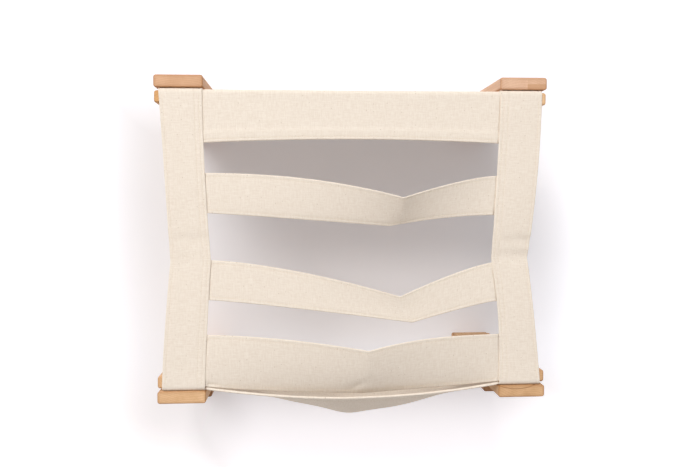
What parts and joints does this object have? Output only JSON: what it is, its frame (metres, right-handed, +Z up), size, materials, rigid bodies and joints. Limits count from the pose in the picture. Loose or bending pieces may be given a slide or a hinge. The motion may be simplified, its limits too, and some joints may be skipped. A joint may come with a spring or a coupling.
{
  "type": "enclosed cat bed",
  "caption": "Wall-hung cat cabin: wooden arms clamp a canvas roof, a sagging canvas floor and a canvas front of side strips and cross bands, open at both ends.",
  "frame": {"origin": "middle of the wall plane, level with the middle of the cabin's height and halfway between the left and right arms", "axes": "+Y into the wall, so the canvas front faces -Y; +Z up; +X to the right seen from the front"},
  "size_m": [0.463, 0.34, 0.4538],
  "materials": {
    "wood": "oiled light hardwood, fine grain, eased edges",
    "canvas": "heavy natural cotton canvas, plain weave, unbleached",
    "steel": "zinc-plated steel screws"
  },
  "bodies": {
    "root": {"bottom_band": "canvas", "floor_canvas": "canvas", "left_side_strip": "canvas", "lower_left_clamp_screw_back": "steel", "lower_left_clamp_screw_front": "steel", "lower_left_clamp_screw_middle": "steel", "lower_left_inner_board": "wood", "lower_left_inner_board_screw": "steel", "lower_left_lag_screw_left": "steel", "lower_left_lag_screw_right": "steel", "lower_left_outer_board": "wood", "lower_left_outer_board_screw": "steel", "lower_left_rail_screw_back": "steel", "lower_left_rail_screw_front": "steel", "lower_left_support_rail": "wood", "lower_left_wall_block": "wood", "lower_right_clamp_screw_back": "steel", "lower_right_clamp_screw_front": "steel", "lower_right_clamp_screw_middle": "steel", "lower_right_inner_board": "wood", "lower_right_inner_board_screw": "steel", "lower_right_lag_screw_left": "steel", "lower_right_lag_screw_right": "steel", "lower_right_outer_board": "wood", "lower_right_outer_board_screw": "steel", "lower_right_rail_screw_back": "steel", "lower_right_rail_screw_front": "steel", "lower_right_support_rail": "wood", "lower_right_wall_block": "wood", "lower_strap": "canvas", "right_side_strip": "canvas", "roof_canvas": "canvas", "top_band": "canvas", "upper_left_clamp_screw_back": "steel", "upper_left_clamp_screw_front": "steel", "upper_left_clamp_screw_middle": "steel", "upper_left_inner_board": "wood", "upper_left_inner_board_screw": "steel", "upper_left_lag_screw_bottom": "steel", "upper_left_lag_screw_top": "steel", "upper_left_outer_board": "wood", "upper_left_outer_board_screw": "steel", "upper_left_wall_block": "wood", "upper_right_clamp_screw_back": "steel", "upper_right_clamp_screw_front": "steel", "upper_right_clamp_screw_middle": "steel", "upper_right_inner_board": "wood", "upper_right_inner_board_screw": "steel", "upper_right_lag_screw_bottom": "steel", "upper_right_lag_screw_top": "steel", "upper_right_outer_board": "wood", "upper_right_outer_board_screw": "steel", "upper_right_wall_block": "wood", "upper_strap": "canvas"}
  },
  "joints": []
}
